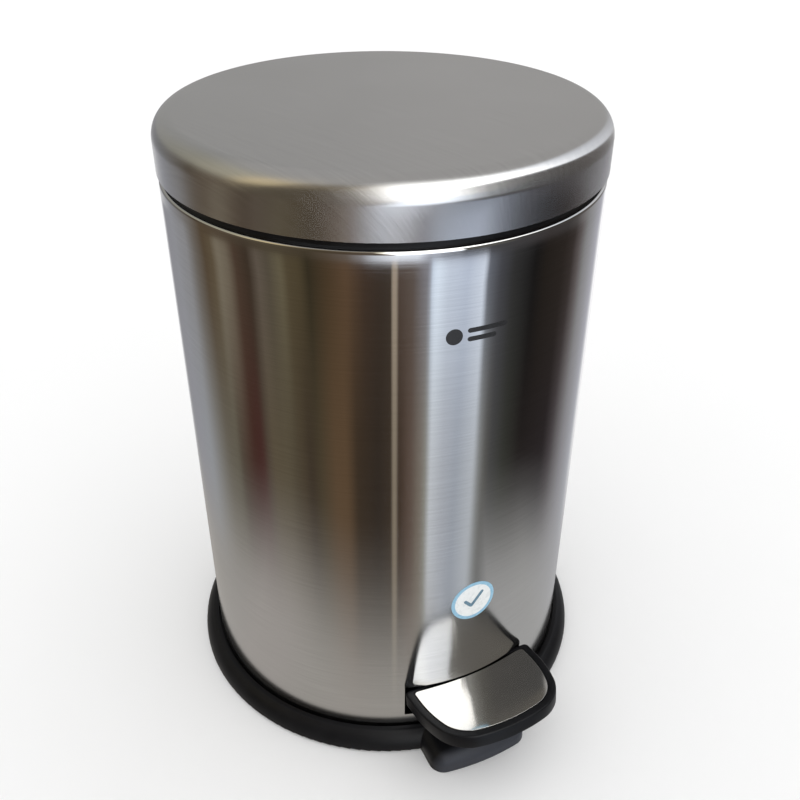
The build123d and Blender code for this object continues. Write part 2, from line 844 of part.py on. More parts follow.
with BuildPart() as pedal_lever:
    add(side_slab(lever_low, lever_top, lever_half_width))
    fillet(pedal_lever.edges().filter_by(Axis.X).group_by(Axis.Y)[-1], lever_end_round)
    add(side_slab(below, web_low, lever_half_width - lever_sheet), mode=Mode.SUBTRACT)
    # tongue that carries the pedal
    with BuildSketch(pedal_plane.offset(-tongue_depth)):
        with Locations((0, sum(tongue_span) / 2)):
            RectangleRounded(2 * tongue_half_width, tongue_span[0] - tongue_span[1], 5)
    extrude(amount=-lever_sheet)
    # holes for the bushes, the rod's foot and the tongue's screws
    with BuildSketch(Plane.YZ):
        with Locations((pivot_y, pivot_z)):
            Circle(bush_radius + 0.02)
        with Locations((rod_y, rod_foot_z)):
            SlotCenterToCenter(1.8, 2 * (rod_radius + 0.4))
    extrude(amount=lever_half_width, both=True, mode=Mode.SUBTRACT)
    with Locations((0, lever_rear - 4, rod_foot_z + 5)):
        Box(9, 24, 8, mode=Mode.SUBTRACT)
    with BuildSketch(pedal_plane.offset(-tongue_depth)):
        for v in pedal_screw_v:
            with Locations((0, v)):
                Circle(screw_radius + 0.2)
    extrude(amount=-lever_sheet, mode=Mode.SUBTRACT)
save(pedal_lever, "pedal_lever")

with BuildPart() as lever_bushes:
    with BuildSketch(Plane.YZ.offset(lever_half_width - lever_sheet - 1)):
        with Locations((pivot_y, pivot_z)):
            Circle(bush_radius)
            Circle(axle_radius + running_gap, mode=Mode.SUBTRACT)
    extrude(amount=lever_sheet + 1.6)
    with BuildSketch(Plane.YZ.offset(lever_half_width + 0.02)):
        with Locations((pivot_y, pivot_z)):
            Circle(bush_radius + 1.5)
            Circle(axle_radius + running_gap, mode=Mode.SUBTRACT)
    extrude(amount=1.2)
    mirror(about=Plane.YZ)
save(lever_bushes, "lever_bushes")

with BuildPart() as pedal_screws:
    for v in pedal_screw_v:
        head_seat = pedal_plane.offset(-tongue_depth - lever_sheet) * Pos(0, v) * Rot(180, 0, 0)
        with Locations(head_seat):
            add(screw(lever_sheet + boss_level + pedal_skin - 0.6))
save(pedal_screws, "pedal_screws")

# ---------------------------------------------------------------- inner bucket and bail
with BuildPart() as inner_bucket:
    with BuildSketch(Plane.XZ):
        with BuildLine():
            Polyline(
                [
                    (0, bucket_bottom),
                    (bucket_bottom_radius - 4, bucket_bottom),
                    (bucket_bottom_radius, bucket_bottom + 4),
                    (bucket_top_radius, bucket_seat),
                    (bucket_flange_radius, bucket_seat),
                    (bucket_flange_radius, bucket_seat + bucket_flange),
                    (bucket_top_radius - bucket_wall, bucket_seat + bucket_flange),
                    (bucket_bottom_radius - bucket_wall, bucket_bottom + 5),
                    (bucket_bottom_radius - bucket_wall - 3, bucket_bottom + 2),
                    (0, bucket_bottom + 2),
                ],
                close=True,
            )
        make_face()
    revolve(axis=Axis.Z)
    # gap in the rim behind which the rod and crank move
    with Locations((2, 119, bucket_seat)):
        Box(26, 22.4, 8, mode=Mode.SUBTRACT)
    # lugs that hold the bail
    with BuildSketch(Plane.YZ.offset(bail_radius - 5.2)) as lug_side:
        with Locations((0, (bucket_seat + 1 + bail_level) / 2)):
            Rectangle(10, bail_level - bucket_seat - 1)
        with Locations((0, bail_level)):
            Circle(4)
            Circle(bail_wire_radius + running_gap, mode=Mode.SUBTRACT)
    lug = extrude(amount=2.0)
    mirror(lug, about=Plane.YZ)
save(inner_bucket, "inner_bucket")

bail_turn = 3.0
with BuildPart() as bail_wire:
    with BuildLine(Plane.XY.offset(bail_level)) as bail_path:
        Line((bail_radius - 6.6, 0), (bail_radius - bail_turn, 0))
        RadiusArc((bail_radius - bail_turn, 0), (bail_radius, -bail_turn), bail_turn)
        ThreePointArc(
            (bail_radius, -bail_turn), (0, -bail_radius - bail_turn), (-bail_radius, -bail_turn)
        )
        RadiusArc((-bail_radius, -bail_turn), (-bail_radius + bail_turn, 0), bail_turn)
        Line((-bail_radius + bail_turn, 0), (-bail_radius + 6.6, 0))
    with BuildSketch(Plane.YZ.offset(bail_radius - 6.6)):
        with Locations((0, bail_level)):
            Circle(bail_wire_radius)
    sweep()
save(bail_wire, "bail_wire")

grip_sweep = 15
with BuildPart() as bail_grip:
    with BuildLine(Plane.XY.offset(bail_level)) as grip_path:
        CenterArc((0, -bail_turn), bail_radius, 270 - grip_sweep, 2 * grip_sweep)
    with BuildSketch(Plane(grip_path.line @ 0, z_dir=grip_path.line % 0)):
        Circle(bail_wire_radius + 1.4)
        Circle(bail_wire_radius + 0.02, mode=Mode.SUBTRACT)
    sweep()
save(bail_grip, "bail_grip")
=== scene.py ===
"""Looks of the round steel pedal bin: meshes, materials, light and camera.

Metres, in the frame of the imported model: +Z up, the pedal faces -Y.
"""

import json
from math import asin, cos, pi, radians, sin, sqrt

import bmesh
import bpy
from mathutils import Matrix, Vector


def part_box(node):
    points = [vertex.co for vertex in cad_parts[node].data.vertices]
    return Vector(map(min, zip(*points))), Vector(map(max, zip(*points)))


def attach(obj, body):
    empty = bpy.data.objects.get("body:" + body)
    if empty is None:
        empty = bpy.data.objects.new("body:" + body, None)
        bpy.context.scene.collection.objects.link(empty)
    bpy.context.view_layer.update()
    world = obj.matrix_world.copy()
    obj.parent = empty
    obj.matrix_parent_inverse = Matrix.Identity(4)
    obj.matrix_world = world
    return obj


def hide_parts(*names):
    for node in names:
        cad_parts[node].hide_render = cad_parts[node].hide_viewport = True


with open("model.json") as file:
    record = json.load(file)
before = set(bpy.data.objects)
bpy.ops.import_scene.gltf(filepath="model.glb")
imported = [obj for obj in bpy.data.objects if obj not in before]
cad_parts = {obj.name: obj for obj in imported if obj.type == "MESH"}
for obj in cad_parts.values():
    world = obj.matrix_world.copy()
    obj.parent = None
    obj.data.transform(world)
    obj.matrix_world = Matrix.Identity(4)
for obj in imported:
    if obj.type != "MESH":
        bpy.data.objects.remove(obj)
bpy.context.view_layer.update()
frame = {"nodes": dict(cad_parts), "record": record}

MM = 0.001

# ------------------------------------------------------------------ sizes from the frame
shell_low, shell_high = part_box("outer_shell")
lid_low, lid_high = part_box("lid_shell")
label_low, label_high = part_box("front_label")

shell_radius = shell_high.x
lid_radius = lid_high.x
sheet = 0.8 * MM
steps_round = 240

# ------------------------------------------------------------------ mesh helpers


def arc(centre_r, centre_z, radius, start, end, steps):
    """Points of a round stretch of a section, in (radius, height)."""
    turns = [radians(start + (end - start) * i / steps) for i in range(steps + 1)]
    return [(centre_r + radius * cos(t), centre_z + radius * sin(t)) for t in turns]


def finish_mesh(name, mesh, body, material, node_names=(), crease=35):
    """Turns a mesh into a piece: smooth except at real edges, riding on a body."""
    mesh.validate()
    mesh.update()
    for polygon in mesh.polygons:
        polygon.use_smooth = True
    mesh.set_sharp_from_angle(angle=radians(crease))
    mesh.materials.append(material)
    piece = bpy.data.objects.new(name, mesh)
    bpy.context.scene.collection.objects.link(piece)
    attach(piece, body)
    if node_names:
        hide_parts(*node_names)
    return piece


def mesh_from(bm, name):
    """Mesh of a finished bmesh, with its faces turned outwards."""
    bmesh.ops.recalc_face_normals(bm, faces=bm.faces)
    mesh = bpy.data.meshes.new(name)
    bm.to_mesh(mesh)
    bm.free()
    return mesh


def turned_sheet(name, path, turns, hole):
    """Single surface turned from an open path, left out where hole(turn, height) is true."""
    bm = bmesh.new()
    columns = []
    pole = None
    for turn in turns:
        column = []
        for r, z in path:
            if r == 0:
                pole = pole or bm.verts.new((0, 0, z))
                column.append(pole)
            else:
                column.append(bm.verts.new((r * sin(turn), -r * cos(turn), z)))
        columns.append(column)
    for i, here in enumerate(columns):
        there = columns[(i + 1) % len(columns)]
        following = turns[(i + 1) % len(turns)]
        middle = (turns[i] + following + (2 * pi if following < turns[i] else 0)) / 2
        for j in range(len(path) - 1):
            if hole(middle, (path[j][1] + path[j + 1][1]) / 2):
                continue
            corners = [here[j], there[j], there[j + 1], here[j + 1]]
            corners = [v for n, v in enumerate(corners) if v not in corners[:n]]
            bm.faces.new(corners)
    bmesh.ops.delete(bm, geom=[v for v in bm.verts if not v.link_faces], context="VERTS")
    return mesh_from(bm, name)


def lofted(name, rings, cap_first=True, cap_last=True):
    """Closed skin through rings of equally many points, capped at its ends."""
    bm = bmesh.new()
    skins = [[bm.verts.new(p) for p in ring] for ring in rings]
    for here, there in zip(skins, skins[1:]):
        for j in range(len(here)):
            k = (j + 1) % len(here)
            bm.faces.new((here[j], here[k], there[k], there[j]))
    if cap_first:
        bm.faces.new(skins[0])
    if cap_last:
        bm.faces.new(skins[-1])
    return mesh_from(bm, name)


def evenly_turned(steps, marks=()):
    """Angles round the can, with the marks among them, from the front and once round."""
    even = [2 * pi * i / steps - pi for i in range(steps)]
    spacing = pi / steps
    kept = [t for t in even if all(abs(t - m) > spacing for m in marks)]
    return sorted([*kept, *marks])


def solidify(piece, thickness):
    """Gives a surface its sheet thickness, inwards, with its cut edges shaded flat."""
    shell = piece.modifiers.new("sheet", "SOLIDIFY")
    shell.thickness = thickness
    shell.offset = -1
    shell.use_even_offset = True
    split = piece.modifiers.new("cut_edges", "EDGE_SPLIT")
    split.split_angle = radians(50)


# ------------------------------------------------------------------ material helpers


class Maker:
    """Builds one node material, step by step."""

    def __init__(self, name, colour, roughness, metallic=0.0):
        self.material = bpy.data.materials.new(name)
        self.material.use_nodes = True
        self.tree = self.material.node_tree
        self.shader = self.tree.nodes["Principled BSDF"]
        self.set("Base Color", (*colour, 1))
        self.set("Roughness", roughness)
        self.set("Metallic", metallic)
        self.coordinates = self.node("ShaderNodeTexCoord").outputs["Object"]

    def set(self, socket, value):
        self.shader.inputs[socket].default_value = value

    def node(self, kind, inputs=None, **settings):
        made = self.tree.nodes.new(kind)
        for key, value in settings.items():
            setattr(made, key, value)
        for key, value in (inputs or {}).items():
            self.feed(made.inputs[key], value)
        return made

    def feed(self, socket, value):
        if isinstance(value, bpy.types.NodeSocket):
            self.tree.links.new(value, socket)
        else:
            socket.default_value = value

    def math(self, operation, a, b=0.0, c=0.0):
        made = self.node("ShaderNodeMath", operation=operation)
        for socket, value in zip(made.inputs, (a, b, c)):
            self.feed(socket, value)
        return made.outputs[0]

    def vector(self, operation, a, b=(0, 0, 0)):
        made = self.node("ShaderNodeVectorMath", operation=operation)
        self.feed(made.inputs[0], a)
        self.feed(made.inputs[1], b)
        return made.outputs["Value" if operation == "DOT_PRODUCT" else "Vector"]

    def split(self, vector):
        return self.node("ShaderNodeSeparateXYZ", {0: vector}).outputs

    def join(self, x, y, z):
        return self.node("ShaderNodeCombineXYZ", {0: x, 1: y, 2: z}).outputs[0]

    def noise(self, vector, scale, detail=2.0, roughness=0.5):
        inputs = {"Vector": vector, "Scale": scale, "Detail": detail, "Roughness": roughness}
        return self.node("ShaderNodeTexNoise", inputs).outputs["Fac"]

    def spread(self, value, low, high):
        """Remaps a noise, which mostly lies between 0.3 and 0.7, to a range."""
        inputs = {"Value": value, "From Min": 0.3, "From Max": 0.7, "To Min": low, "To Max": high}
        return self.node("ShaderNodeMapRange", inputs).outputs["Result"]

    def tint(self, factor, dark, light):
        """Colour between two, which are each three levels or another node's colour."""
        is_socket = [isinstance(colour, bpy.types.NodeSocket) for colour in (dark, light)]
        dark = dark if is_socket[0] else (*dark, 1)
        light = light if is_socket[1] else (*light, 1)
        return self.node("ShaderNodeMix", {0: factor, 6: dark, 7: light}, data_type="RGBA").outputs[2]

    def connect(self, socket, value):
        self.tree.links.new(value, self.shader.inputs[socket])

    def bump(self, height, distance, strength=1.0):
        inputs = {"Height": height, "Distance": distance, "Strength": strength}
        self.connect("Normal", self.node("ShaderNodeBump", inputs).outputs["Normal"])


def brushed_round(name):
    """Steel brushed round the can: fine level lines that smear light up and down."""
    m = Maker(name, (0.60, 0.595, 0.58), 0.10, metallic=1.0)
    m.set("Anisotropic", 1.0)
    x, y, z = m.split(m.coordinates)
    turn = m.math("ARCTAN2", x, m.math("MULTIPLY", y, -1.0))
    along = m.math("MULTIPLY", turn, shell_radius)
    fine = m.noise(m.join(m.math("MULTIPLY", along, 14.0), m.math("MULTIPLY", z, 3200.0), 0.0), 1.0)
    bands = m.noise(m.join(m.math("MULTIPLY", along, 24.0), m.math("MULTIPLY", z, 900.0), 3.0), 1.0)
    clouds = m.noise(m.coordinates, 14.0, 3.0)
    grain = m.math("MULTIPLY_ADD", bands, 0.45, m.math("MULTIPLY", fine, 0.55))
    dull, bright = (0.562, 0.557, 0.542), (0.638, 0.633, 0.618)
    m.connect("Base Color", m.tint(m.spread(grain, 0.0, 1.0), dull, bright))
    # the belt bites less towards the rim
    height = {"Value": z, "From Min": 0.16, "From Max": 0.30, "To Min": 0.0, "To Max": -0.05}
    fade = m.node("ShaderNodeMapRange", height).outputs["Result"]
    rough = m.math("ADD", m.spread(grain, 0.085, 0.115), m.spread(clouds, -0.008, 0.01))
    m.connect("Roughness", m.math("ADD", rough, fade))
    m.connect("Tangent", m.join(0.0, 0.0, 1.0))
    m.bump(fine, 0.00002, 0.1)
    return m.material


def brushed_straight(name, grain_turn, top):
    """Steel brushed in straight lines before it was drawn into a cap."""
    m = Maker(name, (0.60, 0.60, 0.60), 0.20, metallic=1.0)
    m.set("Anisotropic", 1.0)
    grain = Vector((cos(grain_turn), sin(grain_turn), 0))
    across = Vector((-sin(grain_turn), cos(grain_turn), 0))
    z = m.split(m.coordinates)[2]
    # the drawn wall continues the flat sheet's lines: unroll it outwards
    flat = m.vector("MULTIPLY", m.coordinates, (1, 1, 0))
    outward = m.vector("NORMALIZE", flat)
    drop = m.math("MAXIMUM", m.math("SUBTRACT", top, z), 0.0)
    scaled = m.node("ShaderNodeVectorMath", {0: outward, "Scale": drop}, operation="SCALE")
    unrolled = m.vector("ADD", flat, scaled.outputs["Vector"])
    s = m.vector("DOT_PRODUCT", unrolled, tuple(grain))
    t = m.vector("DOT_PRODUCT", unrolled, tuple(across))
    fine = m.noise(m.join(m.math("MULTIPLY", s, 40.0), m.math("MULTIPLY", t, 2400.0), 0.0), 1.0)
    bands = m.noise(m.join(m.math("MULTIPLY", s, 20.0), m.math("MULTIPLY", t, 700.0), 5.0), 1.0)
    clouds = m.noise(m.coordinates, 11.0, 3.0)
    lines = m.math("MULTIPLY_ADD", bands, 0.45, m.math("MULTIPLY", fine, 0.55))
    dull, bright = (0.565, 0.562, 0.558), (0.635, 0.632, 0.628)
    m.connect("Base Color", m.tint(m.spread(lines, 0.0, 1.0), dull, bright))
    rough = m.math("ADD", m.spread(lines, 0.18, 0.22), m.spread(clouds, -0.01, 0.02))
    m.connect("Roughness", rough)
    # the direction across the grain, carried over the rounded edge to the wall
    normal = m.node("ShaderNodeNewGeometry").outputs["Normal"]
    lift = m.math("ADD", m.vector("DOT_PRODUCT", normal, (0, 0, 1)), 1.0)
    share = m.math("DIVIDE", m.vector("DOT_PRODUCT", normal, tuple(across)), lift)
    raised = m.vector("ADD", normal, (0, 0, 1))
    shift = m.node("ShaderNodeVectorMath", {0: raised, "Scale": share}, operation="SCALE")
    m.connect("Tangent", m.vector("SUBTRACT", tuple(across), shift.outputs["Vector"]))
    m.bump(fine, 0.00002, 0.12)
    return m.material


def polished(name):
    """Finely brushed, almost mirror-bright sheet with a slight waviness and scuffs."""
    m = Maker(name, (0.66, 0.65, 0.63), 0.08, metallic=1.0)
    m.set("Anisotropic", 0.5)
    x, y = m.split(m.coordinates)[:2]
    fine = m.noise(m.join(m.math("MULTIPLY", x, 30.0), m.math("MULTIPLY", y, 2200.0), 0.0), 1.0)
    scuffs = m.noise(m.coordinates, 160.0, 5.0, 0.65)
    m.connect("Roughness", m.math("ADD", m.spread(fine, 0.05, 0.08), m.spread(scuffs, 0.0, 0.04)))
    m.connect("Base Color", m.tint(fine, (0.63, 0.62, 0.60), (0.68, 0.67, 0.65)))
    m.connect("Tangent", m.join(0.0, 1.0, 0.0))
    m.bump(m.noise(m.coordinates, 30.0, 1.0), 0.00008, 0.25)
    return m.material


def moulded(name, dark, light, roughness, grain=0.00003, grain_scale=1900.0, ior=1.33, painted_front_light=None):
    """Moulded plastic or rubber: fine spark-eroded grain, faint scuffs and dust.

    Its last argument gives where painted light on a front face begins and is complete, and its colour:
    a lighter tint that stands in for the light that face catches.
    """
    m = Maker(name, dark, roughness)
    m.set("IOR", ior)
    fine = m.noise(m.coordinates, grain_scale, 2.0)
    scuffs = m.noise(m.coordinates, 55.0, 5.0, 0.6)
    colour = m.tint(m.spread(scuffs, 0.0, 1.0), dark, light)
    # painted light: towards the front the colour is lifted to a lighter, bluer tint that stands in for
    # the light the front face catches
    if painted_front_light:
        start, full, front_light_colour = painted_front_light
        inputs = {"Value": m.split(m.coordinates)[1], "From Min": start, "From Max": full}
        share = m.node("ShaderNodeMapRange", inputs).outputs["Result"]
        colour = m.tint(m.math("MULTIPLY", share, m.spread(scuffs, 0.85, 1.0)), colour, front_light_colour)
    m.connect("Base Color", colour)
    uneven = m.spread(scuffs, roughness - 0.05, roughness + 0.05)
    m.connect("Roughness", m.math("ADD", uneven, m.spread(fine, -0.02, 0.02)))
    m.bump(fine, grain, 0.6)
    return m.material


def plated(name, colour, roughness):
    """Zinc-plated or drawn steel of hidden fittings."""
    m = Maker(name, colour, roughness, metallic=1.0)
    spangle = m.noise(m.coordinates, 420.0, 3.0, 0.6)
    stains = m.noise(m.coordinates, 60.0, 4.0, 0.6)
    shade = tuple(0.82 * c for c in colour)
    m.connect("Base Color", m.tint(m.spread(stains, 0.0, 1.0), shade, colour))
    m.connect("Roughness", m.spread(spangle, roughness - 0.06, roughness + 0.06))
    m.bump(spangle, 0.00002, 0.3)
    return m.material


def label_film(name):
    """Printed film: white disc with a pale blue rim, no lettering."""
    pale_blue = (0.28, 0.50, 0.66)
    rim_starts = 0.84
    m = Maker(name, (0.80, 0.82, 0.83), 0.28)
    x, _, z = m.split(m.coordinates)
    centre = (label_low + label_high) / 2
    dx = m.math("SUBTRACT", x, centre.x)
    dz = m.math("SUBTRACT", z, centre.z)
    distance = m.math("SQRT", m.math("ADD", m.math("MULTIPLY", dx, dx), m.math("MULTIPLY", dz, dz)))
    radius = (label_high.z - label_low.z) / 2
    rim = m.math("GREATER_THAN", distance, radius * rim_starts)
    fade = m.noise(m.coordinates, 300.0, 3.0)
    paper = m.tint(m.spread(fade, 0.0, 1.0), (0.74, 0.77, 0.78), (0.82, 0.84, 0.84))
    m.connect("Base Color", m.tint(rim, paper, pale_blue))
    m.connect("Roughness", m.spread(fade, 0.24, 0.32))
    return m.material


def printed_ink(name, colour):
    """Thin matt screen print."""
    m = Maker(name, colour, 0.45)
    patch = m.noise(m.coordinates, 700.0, 3.0)
    worn_thin = tuple(1.5 * c for c in colour)
    m.connect("Base Color", m.tint(m.spread(patch, 0.0, 1.0), colour, worn_thin))
    m.connect("Roughness", m.spread(patch, 0.40, 0.50))
    return m.material


# turn of the camera round the bin from its front, and of the lid's grain from the camera's side
view_turn = radians(-25.1)
grain_from_view = radians(-48)
# where painted light begins on the pedal's front face and where it is full: a lighter tint for the
# light that face catches
front_light_starts = -146.0 * MM
front_light_full = -152.5 * MM
body_steel = brushed_round("body_steel")
lid_steel = brushed_straight("lid_steel", view_turn + grain_from_view, lid_high.z)
pedal_steel = polished("pedal_steel")
black_plastic = moulded(
    "black_plastic",
    (0.0035, 0.0035, 0.0042),
    (0.0065, 0.0065, 0.0078),
    0.42,
    ior=1.26,
    # painted light on the front face: a lighter tint for the light it catches
    painted_front_light=(front_light_starts, front_light_full, (0.044, 0.047, 0.057)),
)
pedal_plastic = moulded(
    "pedal_plastic",
    (0.0035, 0.0036, 0.0044),
    (0.0070, 0.0072, 0.0088),
    0.40,
    ior=1.28,
)
collar_plastic = moulded("collar_plastic", (0.0035, 0.0035, 0.0040), (0.0070, 0.0070, 0.0080), 0.35)
foot_rubber = moulded(
    "foot_rubber",
    (0.015, 0.015, 0.015),
    (0.03, 0.03, 0.03),
    0.75,
    grain=0.00006,
    grain_scale=900.0,
)
liner_plastic = moulded("liner_plastic", (0.020, 0.020, 0.022), (0.032, 0.032, 0.034), 0.45)
bucket_plastic = moulded(
    "bucket_plastic",
    (0.028, 0.029, 0.031),
    (0.045, 0.046, 0.049),
    0.48,
    grain=0.00005,
    grain_scale=1200.0,
)
grip_plastic = moulded("grip_plastic", (0.014, 0.014, 0.015), (0.024, 0.024, 0.026), 0.30)
guide_nylon = moulded("guide_nylon", (0.62, 0.60, 0.53), (0.72, 0.70, 0.64), 0.42)
arm_black = moulded(
    "arm_black",
    (0.016, 0.016, 0.017),
    (0.030, 0.030, 0.032),
    0.52,
    grain=0.00008,
    grain_scale=1500.0,
)
zinc_steel = plated("zinc_steel", (0.56, 0.57, 0.59), 0.38)
bright_steel = plated("bright_steel", (0.66, 0.66, 0.67), 0.20)
screw_steel = plated("screw_steel", (0.60, 0.60, 0.60), 0.30)
label_print = label_film("label_film")
mark_ink = printed_ink("mark_ink", (0.012, 0.012, 0.013))
tick_ink = printed_ink("tick_ink", (0.10, 0.18, 0.24))

SLOT_MATERIALS = {
    "body_steel": body_steel,
    "lid_steel": lid_steel,
    "pedal_steel": pedal_steel,
    "black_plastic": black_plastic,
    "pedal_plastic": pedal_plastic,
    "collar_plastic": collar_plastic,
    "foot_rubber": foot_rubber,
    "liner_plastic": liner_plastic,
    "bucket_plastic": bucket_plastic,
    "grip_plastic": grip_plastic,
    "guide_nylon": guide_nylon,
    "arm_black": arm_black,
    "zinc_steel": zinc_steel,
    "bright_steel": bright_steel,
    "screw_steel": screw_steel,
    "label_film": label_print,
}
for part in frame["record"]["subparts"]:
    node = frame["nodes"][part["node"]]
    node.data.materials.clear()
    node.data.materials.append(SLOT_MATERIALS[part["material_slot"]])

# ------------------------------------------------------------------ outer shell
slot_half_width = 42.6 * MM
slot_bottom = 23.0 * MM
slot_top = 48.8 * MM
notch_half_width = 11.0 * MM
notch_bottom = 328.0 * MM
edge_round = 2.0 * MM
flange_radius = 122.4 * MM
row_spacing = 20.0 * MM

slot_turn = asin(slot_half_width / shell_radius)
notch_turn = asin(notch_half_width / shell_radius)


def shell_hole(turn, z):
    """True in the pedal's slot and in the rear notch for the lift rod's crank."""
    front = abs(turn) < slot_turn and slot_bottom < z < slot_top
    rear = abs(abs(turn) - pi) < notch_turn and z > notch_bottom
    return front or rear


rows_between = int((notch_bottom - slot_top) / row_spacing)
wall = [shell_low.z, slot_bottom, slot_top]
wall += [slot_top + row_spacing * (i + 1) for i in range(rows_between)]
wall += [notch_bottom]
shell_path = [(shell_radius, z) for z in wall]
shell_path += arc(shell_radius - edge_round, shell_high.z - edge_round, edge_round, 0, 90, 8)
shell_path += [(flange_radius, shell_high.z)]
marks = (-slot_turn, slot_turn, -pi + notch_turn, pi - notch_turn)
shell_mesh = turned_sheet("shell_skin", shell_path, evenly_turned(steps_round, marks), shell_hole)
shell = finish_mesh("shell_skin", shell_mesh, "can", body_steel, ["outer_shell"])
solidify(shell, sheet)

# ------------------------------------------------------------------ lid
lid_edge = 12.3 * MM
lid_edge_level = 369.2 * MM
lid_first_row = 4.0 * MM
lid_dome_turn = 2.02
lid_notch_half_width = 26.0 * MM
lid_notch_top = 362.0 * MM

lid_dome = radians(lid_dome_turn)
edge_turn = 90 - lid_dome_turn
dome_start_r = lid_radius - lid_edge + lid_edge * cos(radians(edge_turn))
dome_radius = dome_start_r / sin(lid_dome)
dome_centre = lid_high.z - dome_radius
lid_notch_turn = asin(lid_notch_half_width / lid_radius)
lid_path = [(lid_radius, z) for z in (lid_low.z, lid_low.z + lid_first_row, lid_notch_top)]
lid_path += arc(lid_radius - lid_edge, lid_edge_level, lid_edge, 0, edge_turn, 28)
dome_steps = 24
for i in range(1, dome_steps):
    tilt = lid_dome * (1 - i / dome_steps)
    lid_path.append((dome_radius * sin(tilt), dome_centre + dome_radius * cos(tilt)))
lid_path.append((0, lid_high.z))


def lid_hole(turn, z):
    """True in the notch that clears the rear hinge."""
    return abs(abs(turn) - pi) < lid_notch_turn and z < lid_notch_top


lid_marks = (-pi + lid_notch_turn, pi - lid_notch_turn)
lid_mesh = turned_sheet("lid_skin", lid_path, evenly_turned(steps_round, lid_marks), lid_hole)
lid = finish_mesh("lid_skin", lid_mesh, "lid", lid_steel, ["lid_shell"], crease=50)
solidify(lid, sheet)

# ------------------------------------------------------------------ printed mark and label
film = 0.06 * MM
film_gap = 0.03 * MM
ink_gap = 0.01 * MM
ink_step = 0.02 * MM
tick_width = 2.2 * MM


def rim_of(rows):
    """The outline of a patch of rows, once round."""
    right = [row[-1] for row in rows[1:-1]]
    left = [row[0] for row in rows[-2:0:-1]]
    return [*rows[0], *right, *rows[-1][::-1], *left]


def curved_patch(name, outline_rows, radius, body, material, node_names=()):
    """Thin patch on the shell from rows of (turn, height) points, closed at its back."""
    bm = bmesh.new()
    layers = []
    for r in (radius, radius + film):
        layer = []
        for row in outline_rows:
            layer.append([bm.verts.new((r * sin(t), -r * cos(t), z)) for t, z in row])
        layers.append(layer)
    back, front = layers
    for rows, flip in ((front, False), (back, True)):
        for a, b in zip(rows, rows[1:]):
            for j in range(len(a) - 1):
                face = (a[j], a[j + 1], b[j + 1], b[j])
                bm.faces.new(face[::-1] if flip else face)
    inner, outer = rim_of(back), rim_of(front)
    for j in range(len(inner)):
        k = (j + 1) % len(inner)
        bm.faces.new((inner[j], inner[k], outer[k], outer[j]))
    bmesh.ops.remove_doubles(bm, verts=bm.verts, dist=1e-7)
    piece = finish_mesh(name, mesh_from(bm, name), body, material, node_names)
    return piece


def disc_rows(centre_turn, centre_z, radius, rows=28, columns=24):
    """Rows of a round patch."""
    made = []
    end_lean = 89.5
    for i in range(rows + 1):
        lean = radians(-end_lean + 2 * end_lean * i / rows)
        half = radius * cos(lean) / shell_radius
        z = centre_z + radius * sin(lean)
        made.append([(centre_turn - half + 2 * half * j / columns, z) for j in range(columns + 1)])
    return made


def bar_rows(centre_turn, centre_z, length, height, lean=0.0, columns=24, rows=12):
    """Rows of a round-ended bar, tilted by the lean."""
    made = []
    for i in range(rows + 1):
        v = -0.5 + i / rows
        half = length / 2 - height / 2 + sqrt(max(height**2 / 4 - (v * height) ** 2, 0))
        row = []
        for j in range(columns + 1):
            u = -half + 2 * half * j / columns
            row.append(
                (
                    centre_turn + (u * cos(lean) - v * height * sin(lean)) / shell_radius,
                    centre_z + u * sin(lean) + v * height * cos(lean),
                )
            )
        made.append(row)
    return made


label_centre = (label_low + label_high) / 2
label_turn = asin(label_centre.x / shell_radius)
label_size = (label_high.z - label_low.z) / 2
label_base = shell_radius + film_gap
curved_patch(
    "round_label",
    disc_rows(label_turn, label_centre.z, label_size),
    label_base,
    "can",
    label_print,
    ["front_label"],
)
tick_base = label_base + film + ink_gap
# strokes of the tick: how far right of and above the label's middle, length and lean
strokes = (
    (-3.6 * MM, -1.2 * MM, 7.5 * MM, radians(-48)),
    (2.2 * MM, 1.0 * MM, 13.5 * MM, radians(52)),
)
for n, (right, above, length, lean) in enumerate(strokes):
    stroke_turn = label_turn + right / shell_radius
    rows = bar_rows(stroke_turn, label_centre.z + above, length, tick_width, lean, columns=10)
    curved_patch(f"label_tick_{n + 1}", rows, tick_base + n * ink_step, "can", tick_ink)

mark_turn = radians(-3.2)
mark_level = 300.5 * MM
mark_dot = 4.4 * MM
mark_dot_shift = 13.5 * MM
mark_bar_shift = 6.5 * MM
mark_bar_width = 2.6 * MM
curved_patch(
    "mark_dot",
    disc_rows(mark_turn - mark_dot_shift / shell_radius, mark_level, mark_dot),
    label_base,
    "can",
    mark_ink,
)
for n, (length, above) in enumerate(((22.0 * MM, 2.4 * MM), (16.0 * MM, -2.4 * MM))):
    middle = mark_turn + (length / 2 - mark_bar_shift) / shell_radius
    rows = bar_rows(middle, mark_level + above, length, mark_bar_width)
    curved_patch(f"mark_bar_{n + 1}", rows, label_base, "can", mark_ink)

# ------------------------------------------------------------------ pedal
pedal_rise = radians(9.5)
pedal_turn = radians(0.9)
pedal_origin = Matrix.Rotation(pedal_turn, 4, "Z") @ Matrix.Translation((0, -121.0 * MM, 47.4 * MM))
pedal_frame = pedal_origin @ Matrix.Rotation(-pedal_rise, 4, "X")
pedal_half_width = 45.8 * MM
pedal_back = 2.5 * MM
side_end = -10.1 * MM
side_radius = 84.0 * MM
shoulder_turn = radians(17.3)
pedal_tip = -55.5 * MM
tip_radius = 105.0 * MM
pedal_thickness = 9.0 * MM
pedal_edge = 1.0 * MM
plate_inset = 5.3 * MM
plate_step = 0.1 * MM
plate_thickness = 1.2 * MM
wall_thickness = 2.5 * MM
back_corner_steps = 6
side_steps = 8
shoulder_steps = 16
tip_steps = 10

